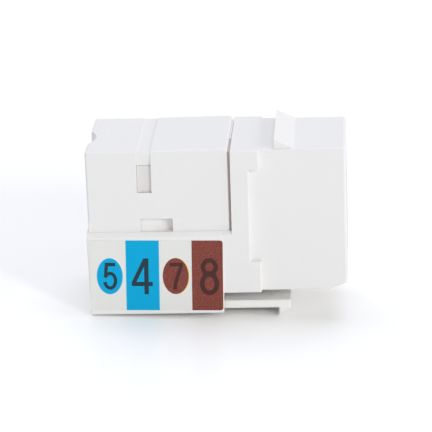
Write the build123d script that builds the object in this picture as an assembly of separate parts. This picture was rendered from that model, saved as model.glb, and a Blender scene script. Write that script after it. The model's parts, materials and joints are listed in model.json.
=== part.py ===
from build123d import *
import math
import os

# Sizes are in millimetres and angles in degrees.
# The origin is the centre of the nose's front face: +X points out of the plug port, +Z towards
# the fixed catch and Y runs across the jack. The cable comes in at the -X end.

# Clearances and cutting
slip_fit = 0.05             # between moulded pieces that plug into each other
cap_fit = 0.08              # between the inside of the cap and what it slides over
overrun = 1.0               # how far a cutting shape runs past the face that it opens
upright_share = 0.9         # of its length that an edge must climb to count as upright

# Nose, the part that passes through the panel
nose_width = 14.5
nose_height = 16.3
nose_length = 9.67
nose_edge_radius = 0.15
nose_front_radius = 0.35
chin_run = 2.0              # slope under the front edge, along X
chin_rise = 0.82            # the same slope, along Z

# Fixed catch on top of the nose
panel_gap = 1.69            # from the collar's front to the catch's holding face
catch_length = 2.2
catch_height = 1.05
catch_inset = 0.22          # from each side of the nose

# Collar, the stop behind the panel
collar_proud = 0.9          # beyond the nose, on each side
collar_length = 3.2
collar_edge = 0.12          # bevel on its front edges
collar_setback = 1.15       # how far the middle of its front edge stands back
setback_low = 3.58          # from the bottom of the nose to the lower end of that stretch
setback_top = 2.1           # from the top of the nose to its upper end
shoulder_length = 1.1       # the lower part that carries on under the cap
shoulder_height = 7.15      # from the bottom of the nose to the shoulder, where the cap seats
shoulder_roof = 0.5
housing_floor = 1.0
pin_relief = 0.5            # pocket in that floor under the contact pins

# Plug port
port_width = 11.8
port_height = 6.8
port_floor = 4.0            # from the bottom of the nose to the port's floor
port_depth = 11.6
tab_width = 6.2             # channel for the plug's locking tab
tab_height = 1.4
tab_neck_width = 4.0        # the narrower slot above it
tab_neck_height = 1.4
front_plate = 1.6           # the wall that the tab locks behind
tab_pocket_length = 7.0
front_lip = 1.25            # the wall below the port

# Contact carrier, the comb that holds the eight spring contacts
carrier_thickness = 1.6
carrier_flange = 0.4        # side runner, across
runner_height = 0.8
core_radius = 0.5           # the rounded nose that the contacts bend around
core_setback = 0.95
fin_length = 2.1            # the teeth between the contacts at the bend
comb_length = 2.0
comb_gap = 0.2              # between the comb and the port's back wall
comb_back = 0.5             # the wall behind the comb's slots
comb_rise = 2.6             # from the port's floor to the top of the comb

# Spring contacts
contact_count = 8
contact_pitch = 1.02
contact_width = 0.4
contact_thickness = 0.34
contact_slope = 17.0
contact_reach = 8.5         # length of the sloping run
contact_fit = 0.05          # around a contact in its groove
pin_bend_radius = 0.4
pin_row_setback = 0.7       # from the carrier to the first row of pins
pin_row_step = 0.9          # from one row of pins to the other
pin_tail = 0.4              # below the circuit board

# Circuit board
board_thickness = 1.2
board_hole_radius = 0.34

# Rear block, below the cap
block_drop = 2.33           # how far it reaches below the nose
block_proud = 0.15          # beyond the collar, on each side
block_wall = 1.3
block_rear_wall = 1.0
block_rear_lip = 0.12       # behind the cap
block_rear_draft = 0.2      # how far its rear face leans in at the bottom
block_chamfer = 0.47
block_edge_radius = 0.25
block_corner_radius = 0.15
deck_thickness = 1.45
front_web = 0.9             # the wall under the circuit board at the front
tongue_length = 1.4         # into the housing
tongue_width = 0.9
leg_clearance = 0.2         # from the tongue's root to the first terminal's leg
board_stop_width = 0.4
board_stop_length = 1.2

# Towers on the rear block, which guide the wires onto the terminals
wires_per_side = 4
wire_pitch = 3.73
wire_slot_width = 1.3
wire_mouth_width = 2.3      # the flared top of a slot
wire_mouth_depth = 1.0
wire_slot_depth = 5.3
end_post = 0.7
channel_share = 0.458       # of the width over both rows of towers, for the trough between them
guard_wall = 0.9            # the closed outer wall of each row
tower_clearance = 0.2       # from the towers to the underside of the cap

# Guide rib and catch nub for the cap, on the outer wall of each row
rib_width = 1.5
rib_centre_share = 0.6      # along the row of towers, from its front end
rib_rise = 0.75
nub_rise = 0.85
nub_height = 2.96
nub_top_drop = 1.85         # from the cap's front top to the top of the nub

# Insulation displacement terminals
terminal_thickness = 0.45
terminal_width = 2.7
terminal_leg_width = 0.9
terminal_slot_width = 0.35
terminal_mouth_width = 1.2
terminal_mouth_depth = 0.7
terminal_slot_depth = 3.9
terminal_top_drop = 1.7     # below the top of the towers
terminal_share = 0.53       # from the channel towards the guard wall, to the terminal's middle
terminal_fit = 0.05
terminal_corner = 0.4

# Cap
cap_gap = 0.27              # the slit between the collar and the cap
cap_wall = 1.2
cap_front_wall = 0.93
cap_front_lean = 0.05       # how far its front face leans forward from the top to the band
cap_rear_wall = 0.88
cap_rear_draft = 0.12       # how far its rear face leans in at the bottom
cap_roof = 1.2
cap_proud = 0.26            # how far the front of its top stands above the nose
cap_rear_step = 0.13        # how much lower the rear part of its top lies
cap_edge_radius = 0.25
band_height = 1.55          # the tapered band along its lower edge
band_taper = 0.18
top_groove_depth = 0.12     # the shallow groove across the top, from window to window
window_margin = 0.06        # around the nub, in the cap's window
relief_depth = 0.45         # the sloping groove above each window, where it is deepest
notch_length = 3.6          # the pry notch in the lower edge
notch_centre_share = 0.51
cable_notch_width = 5.8
cable_notch_depth = 0.8
cable_notch_offset = 1.0    # from the middle towards the near side
arch_inset = 0.1            # from the trough's sides to the arched opening in the rear wall
fin_width = 0.9             # the fins that press each wire down
fin_clearance = 0.3         # from a fin to the terminal, across
wire_diameter = 1.0

# Bottom cover and latch arm
cover_thickness = 0.92
lug_length = 2.0
lug_rise = 0.25
lug_height = 0.4
lug_fit = 0.05
rib_thickness = 1.0         # the ribs that carry the circuit board
latch_side_gap = 0.5        # between the arm and the block's inner sides
latch_panel_gap = 1.82      # from the collar's front to the tooth's holding face
tooth_length = 1.3
tooth_height = 0.92
hinge_setback = 0.7         # from the block's front to the line about which the arm flexes
hinge_fit = 0.05
latch_edge = 0.12
latch_headroom = 0.24       # between the arm and the front web

# Labels
label_thickness = 0.1
label_corner = 0.3
label_rear_margin = 0.25    # from the label's rear edge to the block's rear face
label_low_margin = 0.52     # from the block's bottom to the label
label_high_margin = 0.34    # from the label to the block's upper chamfer
label_tilt = -1.0           # the near label is stuck on slightly turned

# Levels along Z
nose_top = nose_height / 2
nose_bottom = -nose_top
port_bottom = nose_bottom + port_floor
port_top = port_bottom + port_height
tab_top = port_top + tab_height
neck_top = tab_top + tab_neck_height
seat = nose_bottom + shoulder_height
block_bottom = nose_bottom - block_drop
deck_bottom = seat - deck_thickness
board_bottom = nose_bottom + housing_floor + slip_fit
board_top = board_bottom + board_thickness
carrier_bottom = port_bottom - carrier_thickness
groove_depth = contact_thickness + 2 * contact_fit
core_z = carrier_bottom + groove_depth + core_radius
comb_top = port_bottom + comb_rise
cap_top = nose_top + cap_proud
cap_rear_top = cap_top - cap_rear_step
cap_ceiling = cap_rear_top - cap_roof
band_top = seat + band_height
tower_top = cap_ceiling - tower_clearance
slot_bottom = tower_top - wire_slot_depth
terminal_top = tower_top - terminal_top_drop
nub_top = cap_top - nub_top_drop
nub_bottom = nub_top - nub_height
cover_top = block_bottom + cover_thickness
hinge_z = block_bottom + cover_thickness / 2

# Places along X, from the front face backwards
collar_front = -nose_length
slit = collar_front - collar_length
seam = slit - shoulder_length
cap_front = slit - cap_gap
tower_front = cap_front - cap_front_wall - cap_fit
row_length = (wires_per_side - 1) * wire_pitch + wire_slot_width + 2 * end_post
tower_rear = tower_front - row_length
cap_rear = tower_rear - cap_fit - cap_rear_wall
cap_length = cap_front - cap_rear
block_rear = cap_rear - block_rear_lip
cavity_rear = block_rear + block_rear_draft + block_rear_wall
catch_back = collar_front + panel_gap
carrier_front = -front_lip - slip_fit
core_x = carrier_front - core_setback
carrier_rear = -port_depth + comb_gap
board_front = carrier_rear
board_rear = cavity_rear + slip_fit
hinge_x = seam - hinge_setback
tooth_back = collar_front + latch_panel_gap
latch_front = tooth_back + tooth_length
wire_places = [
    tower_front - end_post - wire_slot_width / 2 - i * wire_pitch for i in range(wires_per_side)
]
rib_x = tower_front - rib_centre_share * row_length
window_half = rib_width / 2 + window_margin
notch_x = cap_front - notch_centre_share * cap_length

# Places along Y, from the middle outwards
nose_side = nose_width / 2
collar_side = nose_side + collar_proud
block_side = collar_side + block_proud
block_inside = block_side - block_wall
cap_side = block_side - block_chamfer
cap_inside = cap_side - cap_wall
tower_side = cap_inside - cap_fit
channel_side = channel_share * tower_side
tower_depth = tower_side - channel_side
terminal_y = channel_side + terminal_share * (tower_depth - guard_wall)
runner_side = port_width / 2 + carrier_flange
latch_side = block_inside - latch_side_gap
contact_places = [(i - (contact_count - 1) / 2) * contact_pitch for i in range(contact_count)]


def brick(x, y, z):
    """A box between the low and high bounds given for each axis."""
    middle = [(low + high) / 2 for low, high in (x, y, z)]
    size = [high - low for low, high in (x, y, z)]
    return Pos(*middle) * Box(*size)


def across(half):
    """The bounds of something that is centred across the jack."""
    return (-half, half)


def slab(points, half):
    """A side view, as X and Z points, made into a solid that is centred across the jack."""
    return extrude(Plane.XZ * Polygon(*points, align=None), half, both=True)


def round_bar(x, z, radius, half):
    """A round bar across the jack."""
    return Pos(x, 0, z) * Rot(X=90) * Cylinder(radius, 2 * half)


def both_sides(shape):
    """A shape and its mirror image across the jack's middle."""
    return shape + mirror(shape, about=Plane.XZ)


def long_edges(shape):
    return shape.edges().filter_by(Axis.X)


def upright(edge):
    """Whether an edge runs up and down, give or take the lean of the walls."""
    return abs(edge.tangent_at(0.5).Z) > upright_share


def front_housing():
    """The nose, the collar and the shoulder, moulded in one piece around the plug port."""
    section = Plane.YZ * RectangleRounded(nose_width, nose_height, nose_edge_radius)
    nose = extrude(section, -nose_length - collar_length / 2)
    chin = slab(
        [
            (overrun, nose_bottom + chin_rise + overrun * chin_rise / chin_run),
            (-chin_run - overrun, nose_bottom - overrun * chin_rise / chin_run),
            (overrun, nose_bottom - overrun),
        ],
        nose_width,
    )
    nose -= chin
    front = nose.faces().sort_by(Axis.X)[-1].outer_wire().edges()
    nose = fillet(front, nose_front_radius)

    collar_section = RectangleRounded(2 * collar_side, nose_height, nose_edge_radius)
    collar = extrude(Plane.YZ.offset(collar_front) * collar_section, -collar_length)
    setback = brick(
        (collar_front - collar_setback, collar_front + overrun),
        (nose_side, collar_side + overrun),
        (nose_bottom + setback_low, nose_top - setback_top),
    )
    collar -= both_sides(setback)
    stops = collar.edges().filter_by(Axis.Z).filter_by(
        lambda edge: edge.center().X > slit + slip_fit
        and abs(edge.center().Y) > nose_side + slip_fit
    )
    collar = chamfer(stops, collar_edge)

    shoulder = brick(
        (seam, slit + collar_length / 2),
        across(collar_side),
        (nose_bottom, seat),
    )
    upper = long_edges(shoulder).group_by(Axis.Z)[-1]
    shoulder = chamfer(upper, collar_side - cap_side)
    lower = long_edges(shoulder).group_by(Axis.Z)[0]
    shoulder = fillet(lower, nose_edge_radius)

    catch = slab(
        [
            (catch_back, nose_top - nose_edge_radius),
            (catch_back, nose_top + catch_height),
            (catch_back + catch_length, nose_top),
            (catch_back + catch_length, nose_top - nose_edge_radius),
        ],
        nose_side - catch_inset,
    )
    body = nose + collar + shoulder + catch
    return body - port_cavity() - carrier_passage() - rear_pocket()


def port_cavity():
    """The plug port, with the channel, the neck and the pocket for the plug's locking tab."""
    mouth = overrun
    cavity = brick((-port_depth, mouth), across(port_width / 2), (port_bottom, port_top))
    cavity += brick((-port_depth, mouth), across(tab_width / 2), (port_bottom, tab_top))
    cavity += brick((-port_depth, mouth), across(tab_neck_width / 2), (port_bottom, neck_top))
    pocket_end = -front_plate - tab_pocket_length
    cavity += brick((pocket_end, -front_plate), across(tab_width / 2), (port_bottom, neck_top))
    return cavity


def carrier_passage():
    """The room below the port that the contact carrier slides into, with its two runners."""
    passage = brick(
        (seam - overrun, -front_lip),
        across(port_width / 2),
        (carrier_bottom - slip_fit, port_bottom + slip_fit),
    )
    runner_low = carrier_bottom + (carrier_thickness - runner_height) / 2
    runners = brick(
        (seam - overrun, -front_lip),
        across(runner_side + slip_fit),
        (runner_low - slip_fit, runner_low + runner_height + slip_fit),
    )
    return passage + runners


def rear_pocket():
    """The opening at the back of the housing for the circuit board and the block's tongues."""
    pocket = brick(
        (seam - overrun, carrier_rear + slip_fit),
        across(runner_side + slip_fit),
        (board_bottom - slip_fit, seat - shoulder_roof),
    )
    relief = brick(
        (seam - overrun, carrier_rear),
        across(contact_count * contact_pitch / 2),
        (board_bottom - slip_fit - pin_relief, board_bottom),
    )
    return pocket + relief


def contact_carrier():
    """The comb under the port: a plate with a rounded nose, teeth and a slotted back wall."""
    half = port_width / 2 - slip_fit
    profile = [
        (carrier_front, carrier_bottom),
        (carrier_front, port_bottom),
        (carrier_front - fin_length, port_bottom),
        (carrier_front - fin_length, core_z + core_radius),
        (carrier_rear + comb_length, core_z + core_radius),
        (carrier_rear + comb_length, comb_top),
        (carrier_rear, comb_top),
        (carrier_rear, carrier_bottom),
    ]
    carrier = slab(profile, half)
    runner_low = carrier_bottom + (carrier_thickness - runner_height) / 2
    carrier += brick(
        (carrier_rear, carrier_front),
        across(half + carrier_flange),
        (runner_low, runner_low + runner_height),
    )
    groove_half = contact_width / 2 + contact_fit
    for y in contact_places:
        width = (y - groove_half, y + groove_half)
        under = brick(
            (carrier_rear - overrun, core_x),
            width,
            (carrier_bottom - overrun, carrier_bottom + groove_depth),
        )
        bend = brick(
            (core_x, carrier_front + overrun),
            width,
            (carrier_bottom - overrun, port_bottom + overrun),
        )
        over = brick(
            (carrier_front - fin_length - overrun, core_x),
            width,
            (core_z + core_radius, port_bottom + overrun),
        )
        slot = brick(
            (carrier_rear + comb_back, carrier_rear + comb_length + overrun),
            width,
            (core_z + core_radius, comb_top + overrun),
        )
        core = Pos(0, y, 0) * round_bar(core_x, core_z, core_radius, groove_half)
        carrier -= under + bend + over + slot
        carrier += core
    return carrier


def contact(index):
    """One spring contact: a pin in the board, a run under the carrier, a bend and the free arm."""
    y = contact_places[index]
    pin_x = carrier_rear - pin_row_setback - (index % 2) * pin_row_step
    radius = core_radius + contact_fit + contact_thickness / 2
    run_z = core_z - radius
    plane = Plane.XZ.offset(-y)
    leave = Vector(
        core_x + radius * math.sin(math.radians(contact_slope)),
        core_z + radius * math.cos(math.radians(contact_slope)),
    )
    tip = leave + Vector(
        -contact_reach * math.cos(math.radians(contact_slope)),
        contact_reach * math.sin(math.radians(contact_slope)),
    )
    pin = Line((pin_x, board_bottom - pin_tail), (pin_x, run_z - pin_bend_radius))
    corner = CenterArc((pin_x + pin_bend_radius, run_z - pin_bend_radius), pin_bend_radius, 180, -90)
    run = Line((pin_x + pin_bend_radius, run_z), (core_x, run_z))
    bend = CenterArc((core_x, core_z), radius, -90, 180 - contact_slope)
    arm = Line((leave.X, leave.Y), (tip.X, tip.Y))
    path = plane * Wire([pin, corner, run, bend, arm])
    start = Plane(path @ 0, x_dir=(0, 1, 0), z_dir=path % 0)
    return sweep(start * Rectangle(contact_width, contact_thickness), path)


def circuit_board():
    """The board that joins the spring contacts to the terminals, with a hole for each of them."""
    body = brick((board_rear, seam - slip_fit), across(block_inside - slip_fit), (board_bottom, board_top))
    tongue = brick((seam - slip_fit, board_front), across(runner_side), (board_bottom, board_top))
    board = body + tongue
    for index, y in enumerate(contact_places):
        pin_x = carrier_rear - pin_row_setback - (index % 2) * pin_row_step
        board -= Pos(pin_x, y, board_bottom) * Cylinder(board_hole_radius, 2 * board_thickness + overrun)
    leg = terminal_leg_width / 2 + terminal_fit
    edge = terminal_thickness / 2 + terminal_fit
    for x in wire_places:
        hole = brick(
            (x - leg, x + leg),
            (terminal_y - edge, terminal_y + edge),
            (board_bottom - overrun, board_top + overrun),
        )
        board -= both_sides(hole)
    return board


def rear_block():
    """The block behind the collar: a shell around the board, its deck and two rows of towers."""
    outline = [
        (seam, block_bottom),
        (block_rear + block_rear_draft, block_bottom),
        (block_rear, seat),
        (seam, seat),
    ]
    shell = slab(outline, block_side)
    shell = chamfer(long_edges(shell).group_by(Axis.Z)[-1], block_chamfer)
    rear_face = shell.faces().sort_by(Axis.X)[0]
    corners = rear_face.edges().filter_by(lambda edge: abs(edge.center().Y) > cap_side and upright(edge))
    shell = fillet(corners, block_corner_radius)
    low = shell.faces().sort_by(Axis.Z)[0].outer_wire().edges()
    shell = fillet(low.filter_by(lambda edge: edge.center().X < seam - slip_fit), block_edge_radius)
    shell -= brick(
        (cavity_rear, seam + overrun),
        across(block_inside),
        (block_bottom - overrun, deck_bottom),
    )
    web = brick(
        (seam - front_web, seam),
        across(block_inside),
        (cover_top + latch_headroom, board_bottom - slip_fit),
    )
    root = wire_places[0] + terminal_leg_width / 2 + leg_clearance
    tongue = brick(
        (root, seam),
        (runner_side - tongue_width, block_inside),
        (board_top + slip_fit, deck_bottom),
    )
    tongue += brick(
        (root, seam + tongue_length),
        (runner_side - tongue_width, runner_side),
        (board_top + slip_fit, deck_bottom),
    )
    block = shell + web + both_sides(tongue) + both_sides(board_stops())
    block += both_sides(tower_row())
    block -= both_sides(lug_recesses())
    return block - both_sides(terminal_recesses())


def board_stops():
    """Two stops on the shell's inner wall, which hold the board down."""
    stops = None
    for x in lug_places():
        stop = brick(
            (x - board_stop_length / 2, x + board_stop_length / 2),
            (block_inside - board_stop_width, block_inside),
            (board_top, deck_bottom),
        )
        stops = stop if stops is None else stops + stop
    return stops


def tower_row():
    """One row of towers, with a flared slot for each wire, a closed outer wall and the guide rib."""
    row = brick((tower_rear, tower_front), (channel_side, tower_side), (seat, tower_top))
    inner = tower_side - guard_wall
    for x in wire_places:
        half = wire_slot_width / 2
        flare = wire_mouth_width / 2
        points = [
            (x - half, slot_bottom + half),
            (x - half, tower_top - wire_mouth_depth),
            (x - flare, tower_top),
            (x - flare, tower_top + overrun),
            (x + flare, tower_top + overrun),
            (x + flare, tower_top),
            (x + half, tower_top - wire_mouth_depth),
            (x + half, slot_bottom + half),
        ]
        opening = Plane.XZ * (Polygon(*points, align=None) + Pos(x, slot_bottom + half) * Circle(half))
        row -= Pos(0, inner - tower_depth, 0) * extrude(opening, tower_depth, both=True)
    rib = brick(
        (rib_x - rib_width / 2, rib_x + rib_width / 2),
        (tower_side - guard_wall / 2, tower_side + rib_rise),
        (seat, nub_top),
    )
    nub = brick(
        (rib_x - rib_width / 2, rib_x + rib_width / 2),
        (tower_side - guard_wall / 2, tower_side + nub_rise),
        (nub_bottom, nub_top),
    )
    return row + rib + nub


def terminal_recesses():
    """The upright slots in which one row's terminals stand."""
    half = terminal_width / 2 + terminal_fit
    edge = terminal_thickness / 2 + terminal_fit
    cuts = None
    for x in wire_places:
        cut = brick(
            (x - half, x + half),
            (terminal_y - edge, terminal_y + edge),
            (deck_bottom - slip_fit, terminal_top + terminal_fit),
        )
        cuts = cut if cuts is None else cuts + cut
    return cuts


def terminal(x, y):
    """One insulation displacement terminal: a forked blade on a leg that goes through the board."""
    leg = terminal_leg_width / 2
    body = terminal_width / 2
    mouth = terminal_mouth_width / 2
    slot = terminal_slot_width / 2
    right = [
        (leg, board_bottom - pin_tail),
        (leg, deck_bottom),
        (body, deck_bottom),
        (body, terminal_top - terminal_corner),
        (body - terminal_corner, terminal_top),
        (mouth, terminal_top),
        (slot, terminal_top - terminal_mouth_depth),
        (slot, terminal_top - terminal_slot_depth),
    ]
    left = [(-px, pz) for px, pz in reversed(right)]
    return Pos(x, y, 0) * slab(right + left, terminal_thickness / 2)


def wire_cap():
    """The cap that covers the towers: a shell with a window, a pry notch and a cable opening."""
    profile = [
        (cap_front, seat),
        (cap_front, band_top),
        (cap_front + cap_front_lean, band_top),
        (cap_front, cap_top),
        (rib_x, cap_rear_top),
        (cap_rear, cap_rear_top),
        (cap_rear + cap_rear_draft, seat),
    ]
    shell = slab(profile, cap_side)
    rim = shell.edges().filter_by(
        lambda edge: edge.center().Z > cap_rear_top - slip_fit and abs(edge.center().Y) > cap_inside
    )
    ends = shell.edges().filter_by(Axis.Y).filter_by(
        lambda edge: edge.center().Z > cap_rear_top - slip_fit
        and not cap_rear + slip_fit < edge.center().X < cap_front - slip_fit
    )
    corners = shell.edges().filter_by(lambda edge: edge.center().Z > band_top and upright(edge))
    shell = fillet(rim + ends + corners, cap_edge_radius)

    # The band along the lower edge leans in a little on both sides.
    taper = [
        (cap_side + overrun, band_top),
        (cap_side, band_top),
        (cap_side - band_taper, seat),
        (cap_side - band_taper, seat - overrun),
        (cap_side + overrun, seat - overrun),
    ]
    band = extrude(Plane.YZ.offset(cap_rear) * Polygon(*taper, align=None), 2 * cap_length, both=True)
    shell -= both_sides(band)

    shell -= brick(
        (tower_rear - cap_fit, tower_front + cap_fit),
        across(cap_inside),
        (seat - overrun, cap_ceiling),
    )
    shell -= both_sides(side_openings())
    shell -= brick(
        (rib_x - window_half, rib_x + window_half),
        across(cap_side + overrun),
        (cap_rear_top - top_groove_depth, cap_top + overrun),
    )
    shell -= cable_opening()
    return shell + both_sides(wire_fins())


def side_openings():
    """What is cut in one side of the cap: window, relief groove, inner guide way and pry notch."""
    along = (rib_x - window_half, rib_x + window_half)
    outside = cap_side + overrun
    window_top = nub_top + window_margin
    window = brick(along, (cap_inside - overrun, outside), (nub_bottom - window_margin, window_top))
    slope = [
        (outside, window_top),
        (cap_side - relief_depth, window_top),
        (cap_side, cap_rear_top - top_groove_depth),
        (outside, cap_rear_top - top_groove_depth),
    ]
    relief = extrude(Plane.YZ.offset(rib_x) * Polygon(*slope, align=None), window_half, both=True)
    nub_face = tower_side + nub_rise + slip_fit
    guide = brick(along, (cap_inside - overrun, nub_face), (seat - overrun, window_top))
    notch = brick(
        (notch_x - notch_length / 2, notch_x + notch_length / 2),
        (cap_inside - overrun, outside),
        (seat - overrun, band_top),
    )
    return window + relief + guide + notch


def cable_opening():
    """The scallop down the back of the cap and the arched opening that the cable comes in by."""
    half = cable_notch_width / 2
    radius = (half**2 + cable_notch_depth**2) / (2 * cable_notch_depth)
    centre_x = cap_rear + cable_notch_depth - radius
    height = cap_top - seat + 2 * overrun
    scallop = Pos(centre_x, -cable_notch_offset, (cap_top + seat) / 2) * Cylinder(radius, height)
    arch_half = channel_side - arch_inset
    arch_z = cap_ceiling - arch_half
    opening = brick((cap_rear - overrun, tower_rear), across(arch_half), (seat - overrun, arch_z))
    arch = Pos(cap_rear, 0, arch_z) * Rot(Y=90) * Cylinder(arch_half, 2 * (cap_rear_wall + cap_fit))
    return scallop + opening + arch


def wire_fins():
    """The fins of one row, two to each wire slot, which press the wire onto its terminal."""
    low = slot_bottom + wire_diameter
    gap = terminal_thickness / 2 + fin_clearance
    inner = (channel_side + fin_clearance, terminal_y - gap)
    outer = (terminal_y + gap, tower_side - guard_wall - fin_clearance / 2)
    fins = None
    for x in wire_places:
        for bounds in (inner, outer):
            fin = brick((x - fin_width / 2, x + fin_width / 2), bounds, (low, cap_ceiling + cap_roof / 2))
            fins = fin if fins is None else fins + fin
    return fins


def lug_places():
    """Where the lugs, the board stops and the cover's ribs are, along X."""
    return (wire_places[0] - wire_pitch / 2, wire_places[-1] + wire_pitch / 2)


def lug_recesses():
    """The recesses in the shell that the cover's lugs snap into."""
    cuts = None
    for x in lug_places():
        cut = brick(
            (x - lug_length / 2 - lug_fit, x + lug_length / 2 + lug_fit),
            (block_inside - overrun / 2, block_inside - slip_fit + lug_rise + lug_fit),
            (hinge_z - lug_height / 2 - lug_fit, hinge_z + lug_height / 2 + lug_fit),
        )
        cuts = cut if cuts is None else cuts + cut
    return cuts


def bottom_cover():
    """The plate that closes the block from below, with ribs for the board and four lugs."""
    side = block_inside - slip_fit
    cover = brick((board_rear, hinge_x), across(side), (block_bottom, cover_top))
    cover -= round_bar(hinge_x, hinge_z, cover_thickness / 2 + hinge_fit, block_side)
    for x in lug_places():
        cover += brick(
            (x - rib_thickness / 2, x + rib_thickness / 2),
            across(side - tongue_width),
            (cover_top, board_bottom),
        )
        cover += brick(
            (x - lug_length / 2, x + lug_length / 2),
            across(side + lug_rise),
            (hinge_z - lug_height / 2, hinge_z + lug_height / 2),
        )
    return cover


def latch_arm():
    """The springy arm under the nose, with the tooth that snaps behind the panel."""
    profile = [
        (hinge_x, cover_top),
        (latch_front, cover_top),
        (latch_front, block_bottom),
        (tooth_back, block_bottom - tooth_height),
        (tooth_back, block_bottom),
        (hinge_x, block_bottom),
    ]
    arm = slab(profile, latch_side)
    arm += round_bar(hinge_x, hinge_z, cover_thickness / 2, latch_side)
    rims = arm.edges().filter_by(
        lambda edge: abs(edge.center().Y) > latch_side - slip_fit and edge.center().X > seam
    )
    return chamfer(rims, latch_edge)


def label(side):
    """A printed label on one side of the block. The near one (side -1) is turned slightly."""
    rear = block_rear + label_rear_margin
    low = block_bottom + label_low_margin
    high = seat - block_chamfer - label_high_margin
    turn = label_tilt if side < 0 else 0
    flat = Rot(Z=turn) * RectangleRounded(seam - rear, high - low, label_corner)
    sheet = extrude(Plane.XZ * flat, label_thickness)
    place = Pos((seam + rear) / 2, -block_side, (low + high) / 2) * sheet
    return place if side < 0 else mirror(place, about=Plane.XZ)


def build():
    """Every separate piece of the jack, by name."""
    pieces = {
        "front_housing": front_housing(),
        "contact_carrier": contact_carrier(),
        "circuit_board": circuit_board(),
        "rear_block": rear_block(),
        "wire_cap": wire_cap(),
        "bottom_cover": bottom_cover(),
        "latch_arm": latch_arm(),
        "label_near": label(-1),
        "label_far": label(1),
    }
    for index in range(contact_count):
        pieces[f"spring_contact_{index + 1}"] = contact(index)
    for index, x in enumerate(wire_places):
        pieces[f"wire_terminal_near_{index + 1}"] = terminal(x, -terminal_y)
        pieces[f"wire_terminal_far_{index + 1}"] = terminal(x, terminal_y)
    return pieces


os.makedirs("parts", exist_ok=True)
for name, shape in build().items():
    export_step(shape, f"parts/{name}.step")
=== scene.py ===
import json
import math

import bmesh
import bpy
from bpy.props import FloatProperty, FloatVectorProperty, IntProperty, PointerProperty
from mathutils import Matrix, Vector


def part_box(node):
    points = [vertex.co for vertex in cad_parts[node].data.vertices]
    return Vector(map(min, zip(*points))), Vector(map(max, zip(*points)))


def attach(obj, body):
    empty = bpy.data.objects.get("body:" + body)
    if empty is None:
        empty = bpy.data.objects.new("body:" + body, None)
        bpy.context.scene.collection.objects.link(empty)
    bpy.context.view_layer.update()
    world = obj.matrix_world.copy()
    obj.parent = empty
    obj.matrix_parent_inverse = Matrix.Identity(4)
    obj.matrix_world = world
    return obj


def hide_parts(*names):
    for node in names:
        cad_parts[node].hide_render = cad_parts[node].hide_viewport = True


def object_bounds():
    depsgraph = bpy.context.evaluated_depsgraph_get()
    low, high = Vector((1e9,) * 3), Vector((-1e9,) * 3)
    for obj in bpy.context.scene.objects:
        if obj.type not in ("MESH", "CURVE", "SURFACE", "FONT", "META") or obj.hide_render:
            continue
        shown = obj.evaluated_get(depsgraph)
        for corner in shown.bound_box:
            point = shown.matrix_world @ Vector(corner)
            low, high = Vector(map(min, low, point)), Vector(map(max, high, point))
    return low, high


bl_info = {
    "name": "Keystone jack",
    "version": (1, 0, 0),
    "blender": (4, 5, 0),
    "location": "3D View > Sidebar > Jack",
    "description": "Dresses the packed jack with its finishes, labels, contacts, light and camera",
    "category": "Object",
}

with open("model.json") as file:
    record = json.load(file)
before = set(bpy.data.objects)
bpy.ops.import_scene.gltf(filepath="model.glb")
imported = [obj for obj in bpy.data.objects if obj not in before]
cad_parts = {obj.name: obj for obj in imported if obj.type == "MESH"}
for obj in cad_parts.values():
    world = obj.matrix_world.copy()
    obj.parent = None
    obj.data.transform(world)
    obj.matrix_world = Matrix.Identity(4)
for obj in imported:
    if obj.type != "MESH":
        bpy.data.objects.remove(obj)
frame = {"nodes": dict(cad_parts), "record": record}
CAD_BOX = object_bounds()

MM = 0.001
MERGE = 0.001 * MM  # points of a mesh that are closer than this become one
MIX_A, MIX_B, MIX_RESULT = 6, 7, 2  # the colour sockets of a Mix node
NOISE_MIDDLE = 0.5  # the mean of a noise, and of the mix of two shades that it moves
GRAIN_RELIEF = 0.01 * MM  # height of the grain's bumps
REFRACTION = 1.5  # every surface's index of refraction

# From a flat drawing's axes (across, up, out) to the frame's, with its front to the port or to the far side
FACING_PORT = Matrix(((0, 0, 1, 0), (1, 0, 0, 0), (0, 1, 0, 0), (0, 0, 0, 1)))
FACING_FAR = Matrix(((1, 0, 0, 0), (0, 0, 1, 0), (0, 1, 0, 0), (0, 0, 0, 1)))

NEAR_AND_FAR = ((-1, "near"), (1, "far"))
SPRING_CONTACTS = tuple(f"spring_contact_{i + 1}" for i in range(8))
TERMINALS = tuple(f"wire_terminal_{word}_{i + 1}" for _, word in NEAR_AND_FAR for i in range(4))

# The print of the two labels, in millimetres from the label's middle, across and up. A stripe has its left
# end, its right end and its ink, an oval has its middle and its ink, and a number has its text, its box
# (across, up, width, height) and its ink.
NEAR_PRINT = {
    "stripes": ((-3.41, 0.32, "blue"), (3.97, 7.475, "brown")),
    "ovals": ((-5.235, -0.1, "blue"), (2.155, -0.07, "brown")),
    "numbers": (
        ("4", (-1.607, -0.1, 2.35, 4.2), "slate"),
        ("8", (5.93, -0.13, 2.16, 4.36), "umber"),
        ("5", (-5.177, -0.1, 1.54, 3.15), "slate"),
        ("7", (2.25, -0.077, 1.5, 3.12), "umber"),
    ),
}
FAR_PRINT = {
    "stripes": ((-3.4, 0.2, "green"), (4.0, 7.475, "orange")),
    "ovals": ((-5.3, 0.0, "green"), (2.1, 0.0, "orange")),
    "numbers": (
        ("2", (-1.6, 0.0, 2.1, 4.2), "slate"),
        ("6", (5.9, 0.0, 2.1, 4.2), "umber"),
        ("1", (-5.3, 0.0, 0.9, 3.1), "slate"),
        ("3", (2.1, 0.0, 1.35, 3.1), "umber"),
    ),
}

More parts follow.
